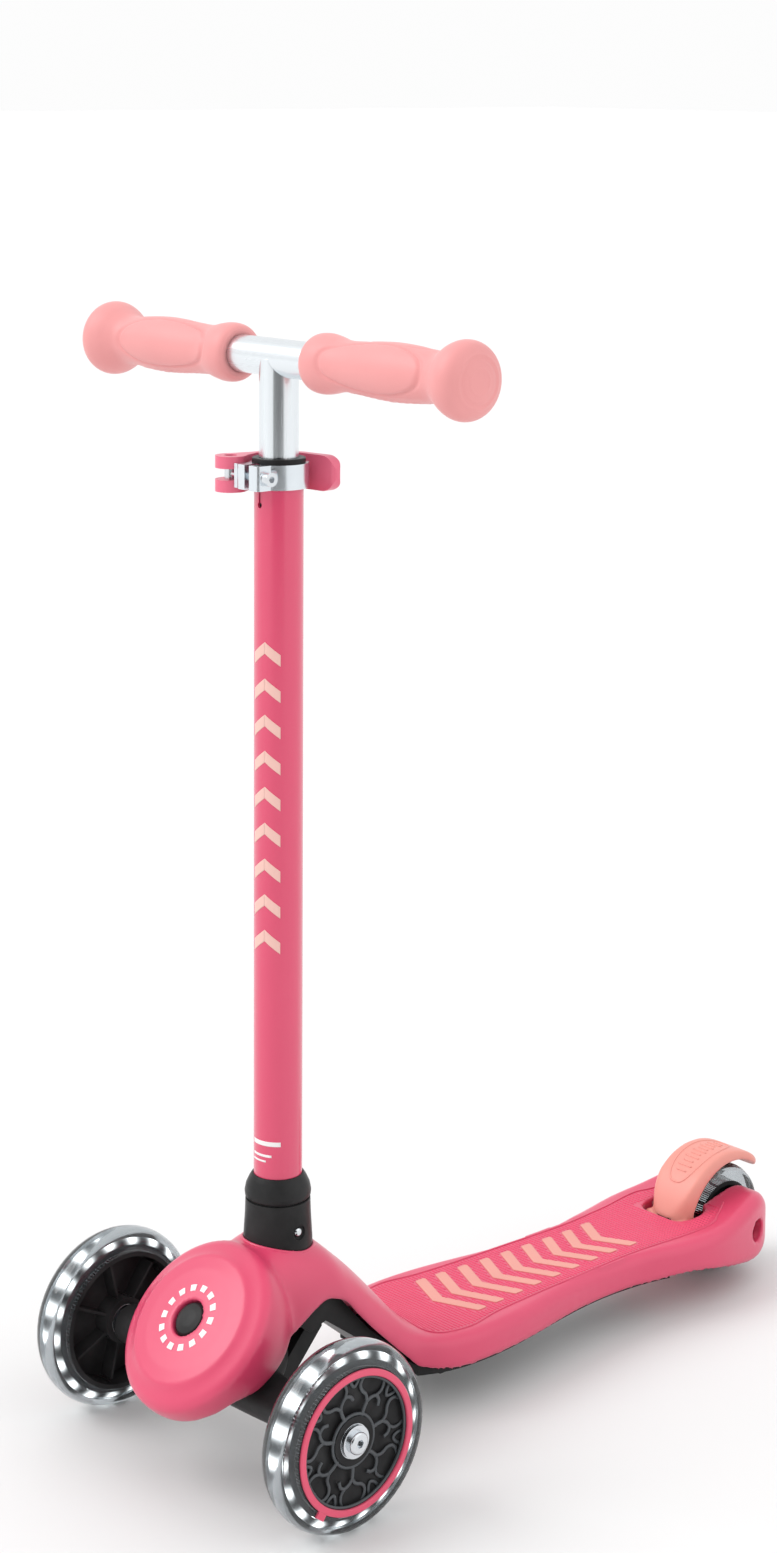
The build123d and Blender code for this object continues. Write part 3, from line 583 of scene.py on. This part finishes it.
def column_graphic():
    parts = []
    half, rise, band, pitch = 0.0105, 0.008, 0.0075, 0.0235
    for index in range(9):
        z = 0.335 + index * pitch
        parts.append(column_patch([(-half, z), (0, z + rise), (0, z + rise + band), (-half, z + band)]))
        parts.append(column_patch([(0, z + rise), (half, z), (half, z + band), (0, z + rise + band)]))
    verts, faces = joined(parts)
    piece("column_chevrons", verts, faces, "deck", M["print"])
    label = [column_patch([(-0.011, 0.2065), (0.011, 0.2065), (0.011, 0.2095), (-0.011, 0.2095)]),
             column_patch([(-0.011, 0.199), (0.005, 0.199), (0.005, 0.2006), (-0.011, 0.2006)]),
             column_patch([(-0.011, 0.1955), (0.001, 0.1955), (0.001, 0.1967), (-0.011, 0.1967)])]
    verts, faces = joined(label)
    piece("column_label", verts, faces, "deck", M["white"])


column_graphic()


def brake():
    obj = remeshed("brake_lever", "brake_pad", 0.0011)
    mesh = obj.data
    co = coords(mesh)
    y, z = co[:, 1] + MID, co[:, 2]
    upper = smoothstep(0.052, 0.060, z)
    co = relax(mesh, co, upper, 36)
    co = relax(mesh, co, np.ones(len(co)) * 0.8, 6, keep=1.0)
    put(mesh, co)
    mesh.materials.append(M["brake"])
    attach(obj, "foot_brake")
    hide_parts("brake_lever")
    tree = BVHTree.FromPolygons([v.co for v in mesh.vertices], [tuple(p.vertices) for p in mesh.polygons])

    def on(x, y):
        hit = tree.ray_cast(Vector((x, y - MID, 0.2)), Vector((0, 0, -1)))
        return (x, y - MID, hit[0].z), tuple(hit[1])

    def bead(stops, radius, closed=False):
        points = [np.array(point) for point, out in stops]
        out_at = {tuple(np.round(point, 7)): out for point, out in stops}
        return tube_mesh(points, radius, lambda q: out_at[tuple(np.round(q, 7))], 0.8, 8, closed=closed)

    outline = [on(0.0125 * math.copysign(abs(math.cos(a)) ** 0.7, math.cos(a)),
                  0.457 + 0.027 * math.copysign(abs(math.sin(a)) ** 0.85, math.sin(a)))
               for a in (2 * math.pi * i / 72 for i in range(72))]
    parts = [bead(outline, 0.0007, closed=True)]
    for index in range(11):
        half = 0.0065 if index % 2 else 0.0045
        y_row = 0.437 + index * 0.004
        parts.append(bead([on(half * (k / 6 - 0.5) * 2, y_row) for k in range(7)], 0.00065))
    verts, faces = joined(parts)
    piece("brake_relief", verts, faces, "foot_brake", M["brake"])


brake()


# ------------------------------------------------------------------ grips

# share of the length, radius in millimetres
GRIP_PROFILE = [
    (0.0, 15.6), (0.012, 17.6), (0.035, 18.9), (0.075, 19.2), (0.12, 18.2), (0.17, 16.6), (0.22, 16.0),
    (0.30, 16.5), (0.40, 17.6), (0.50, 18.2), (0.60, 17.7), (0.70, 16.5), (0.755, 16.0), (0.79, 16.8),
    (0.825, 19.4), (0.86, 22.4), (0.895, 24.3), (0.925, 24.6), (0.952, 23.5), (0.972, 21.2),
    (0.986, 17.4), (0.995, 12.2), (1.0, 6.6), (1.001, 0.01),
]


def grip(side):
    name = "left" if side > 0 else "right"
    low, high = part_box("grip_" + name)
    start = min(abs(low.x), abs(high.x))
    length = max(abs(low.x), abs(high.x)) - start
    centre_z = (low.z + high.z) / 2
    curve = catmull([(t * length, r * MM) for t, r in GRIP_PROFILE], 9)
    around = 144
    verts, faces = [], []
    for index, (u, r) in enumerate(curve):
        for k in range(around):
            angle = 2 * math.pi * k / around
            radius = max(r, 1e-5) + relief(u / length, angle)
            verts.append((side * (start + u + cap_relief(u / length, r)),
                          COLUMN_Y + radius * math.cos(angle), centre_z + radius * math.sin(angle)))
    rings = len(curve)
    for i in range(rings - 1):
        for k in range(around):
            m = (k + 1) % around
            faces.append((i * around + k, (i + 1) * around + k, (i + 1) * around + m, i * around + m))
    faces.append(tuple((rings - 1) * around + k for k in range(around)))
    base = len(verts)
    for u in (0.0, 0.012):
        for k in range(around):
            angle = 2 * math.pi * k / around
            verts.append((side * (start + u), COLUMN_Y + BAR_R * math.cos(angle),
                          centre_z + BAR_R * math.sin(angle)))
    for k in range(around):
        m = (k + 1) % around
        faces.append((k, m, base + m, base + k))
        faces.append((base + k, base + m, base + around + m, base + around + k))
    faces.append(tuple(base + around + k for k in range(around)))
    obj = piece("grip_sleeve_" + name, verts, faces, "handlebar", M["salmon"])
    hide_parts("grip_" + name)


def turn_from(angle, degrees):
    """Angle from a direction round the grip, between half a turn each way."""
    return (angle - math.radians(degrees) + math.pi) % (2 * math.pi) - math.pi


def relief(t, angle):
    """Height of the moulded panel edge, thumb rest outline and finger ribs."""
    if t < 0.02 or t > 0.80:
        return 0.0
    front = turn_from(angle, 168)
    u = (t - 0.44) / 0.31
    v = front / math.radians(58)
    d = (abs(u) ** 2.4 + abs(v) ** 2.4) ** (1 / 2.4)
    out = -1.1 * MM * math.exp(-((d - 1) / 0.045) ** 2)
    out += 0.5 * MM * (1 - float(smoothstep(0.9, 1.0, d)))
    crown = turn_from(angle, 88)
    u2 = (t - 0.52) / 0.20
    v2 = crown / math.radians(20)
    d2 = (abs(u2) ** 2.0 + abs(v2) ** 2.0) ** 0.5
    out -= 0.5 * MM * math.exp(-((d2 - 1) / 0.08) ** 2) * float(smoothstep(0.98, 1.1, d))
    under = turn_from(angle, 285)
    inside = math.hypot((t - 0.46) / 0.27, under / math.radians(46))
    if inside < 1.0:
        wave = 0.5 + 0.5 * math.cos(2 * math.pi * t / 0.040)
        out -= 0.9 * MM * wave * float(1 - smoothstep(0.8, 1.0, inside)) - 0.3 * MM
    return out


def cap_relief(t, r):
    """Rings moulded in the round end."""
    if t < 0.96:
        return 0.0
    rings = ((0.0004, 0.0165, 0.0009), (-0.0004, 0.0140, 0.0012), (0.0003, 0.0080, 0.0009))
    return sum(height * math.exp(-((r - radius) / width) ** 2) for height, radius, width in rings)


grip(1)
grip(-1)


# ------------------------------------------------------------------ wheels

def wheel_point(side, out, radius, angle):
    """Point on a front wheel; out from its mid-plane away from the deck."""
    x = side * (WHEEL_X + out)
    return (x, radius * math.cos(angle) - MID, WHEEL_Z + radius * math.sin(angle))


def branch(side, turn, stops, out, width):
    path = [wheel_point(side, out, r, turn + a) for r, a in stops]
    path = catmull(path, 6)
    return tube_mesh(path, width * 1.25, (side, 0, 0), flat=0.6, sides=8)


def web(side):
    parts = []
    out = 0.0088
    step = 2 * math.pi / WEB_ARMS
    for index in range(WEB_ARMS):
        turn = 2 * math.pi * index / WEB_ARMS + 0.2
        parts.append(branch(side, turn, [(0.0150, 0), (0.0200, 0.02), (0.0250, 0.0)], out, 0.0011))
        parts.append(branch(side, turn, [(0.0248, 0), (0.0285, 0.10), (0.0310, 0.24), (0.0345, 0.30),
                                         (0.0385, 0.27), (0.0412, 0.20)], out, 0.0010))
        parts.append(branch(side, turn, [(0.0248, 0), (0.0280, -0.10), (0.0300, -0.22), (0.0290, -0.34),
                                         (0.0260, -0.42)], out, 0.0010))
        parts.append(branch(side, turn, [(0.0300, -0.20), (0.0335, -0.26), (0.0375, -0.25), (0.0412, -0.20)],
                            out, 0.0009))
        parts.append(branch(side, turn + step / 2, [(0.0412, 0.10), (0.0370, 0.07), (0.0345, 0.0),
                                                    (0.0370, -0.07), (0.0412, -0.10)], out, 0.0009))
    ring = [wheel_point(side, out, 0.0166, 2 * math.pi * k / 72) for k in range(72)]
    parts.append(tube_mesh(ring, 0.0012, (side, 0, 0), 0.8, 8, closed=True))
    ring = [wheel_point(side, 0.0112, 0.0406, 2 * math.pi * k / 96) for k in range(96)]
    parts.append(tube_mesh(ring, 0.0011, (side, 0, 0), 0.9, 8, closed=True))
    verts, faces = joined(parts)
    name = "left" if side > 0 else "right"
    piece("hub_web_" + name, verts, faces, "wheel_" + name, M["web"])


web(1)
web(-1)


def led_glow(side):
    """Smoked lens band over the emitters; each one lights the band round it."""
    around = LIGHTS * 24
    profile = [(0.0502, 0.0057), (0.0520, 0.0057), (0.0532, 0.0046), (0.0537, 0.0026), (0.0538, 0.0),
               (0.0537, -0.0026), (0.0532, -0.0046), (0.0520, -0.0057), (0.0502, -0.0057)]
    verts, glow = [], []
    for k in range(around):
        angle = 2 * math.pi * k / around
        away = (angle * LIGHTS / (2 * math.pi) + 0.5) % 1 - 0.5
        for radius, out in profile:
            verts.append(wheel_point(side, out, radius, angle))
            spread = (away / 0.20) ** 2 + ((radius - 0.0530) / 0.0022) ** 2 * 0.8
            glow.append(math.exp(-spread))
    n = len(profile)
    faces = []
    for k in range(around):
        m = (k + 1) % around
        for j in range(n):
            faces.append((k * n + j, k * n + (j + 1) % n, m * n + (j + 1) % n, m * n + j))
    name = "left" if side > 0 else "right"
    obj = piece("led_glow_" + name, verts, faces, "wheel_" + name, M["glow"])
    values = obj.data.attributes.new("glow", "FLOAT", "POINT")
    values.data.foreach_set("value", glow)


led_glow(1)
led_glow(-1)


# ------------------------------------------------------------------ stage, light and camera

def sheet(name, corners, surface_material):
    mesh = bpy.data.meshes.new(name)
    mesh.from_pydata(corners, [], [(0, 1, 2, 3)])
    mesh.materials.append(surface_material)
    return link(bpy.data.objects.new(name, mesh))


def studio():
    size = 40.0
    corners = [(-size, -size, 0), (size, -size, 0), (size, size, 0), (-size, size, 0)]
    paper = material("paper", (0.80, 0.80, 0.80), 0.6, tint=0.01, patch=3, grain=300, bump=0.02,
                     depth=0.00002)
    sheet("floor", corners, paper)
    world = bpy.data.worlds.new("studio")
    bpy.context.scene.world = world
    world.use_nodes = True
    back = next(n for n in world.node_tree.nodes if n.type == "BACKGROUND")
    back.inputs["Color"].default_value = (1, 1, 1, 1)
    back.inputs["Strength"].default_value = 0.98
    for name, place, angle, power in (
        ("key", (-1.3, -1.7, 2.0), 40, 1.25),
        ("fill", (2.2, 0.9, 1.6), 60, 0.30),
    ):
        data = bpy.data.lights.new(name, "SUN")
        data.angle = math.radians(angle)
        data.energy = power
        lamp = link(bpy.data.objects.new(name, data))
        lamp.location = place
        lamp.rotation_euler = (-Vector(place)).to_track_quat("-Z", "Y").to_euler()
    # a dark card that only reflections see, as a studio uses to give tubes a core shadow
    black = material("card", (0.03, 0.03, 0.03), 0.9, tint=0.01, patch=3, grain=300, bump=0.01, depth=0.00001,
                     Specular_IOR_Level=0.0)
    cx, cy, half, height = 2.5, -2.4, 1.9, 2.6
    distance = math.hypot(cx, cy)
    dx, dy = -cy / distance * half, cx / distance * half
    corners = [(cx - dx, cy - dy, 0.02), (cx + dx, cy + dy, 0.02), (cx + dx, cy + dy, height),
               (cx - dx, cy - dy, height)]
    flag = sheet("card_front", corners, black)
    flag.visible_camera = False
    flag.visible_diffuse = False
    flag.visible_shadow = False
    flag.visible_transmission = False


studio()

camera_data = bpy.data.cameras.new("camera")
camera_data.lens = 68.04
camera_data.sensor_width = 36
camera_data.shift_x = -0.0246
camera_data.shift_y = -0.2492
camera = link(bpy.data.objects.new("camera", camera_data))
camera.location = (1.425, -1.36675, 0.907)
camera.rotation_euler = (math.radians(90 - 6.4), math.radians(-0.4), math.radians(47.4))
bpy.context.scene.camera = camera
bpy.context.scene.view_settings.view_transform = "Standard"
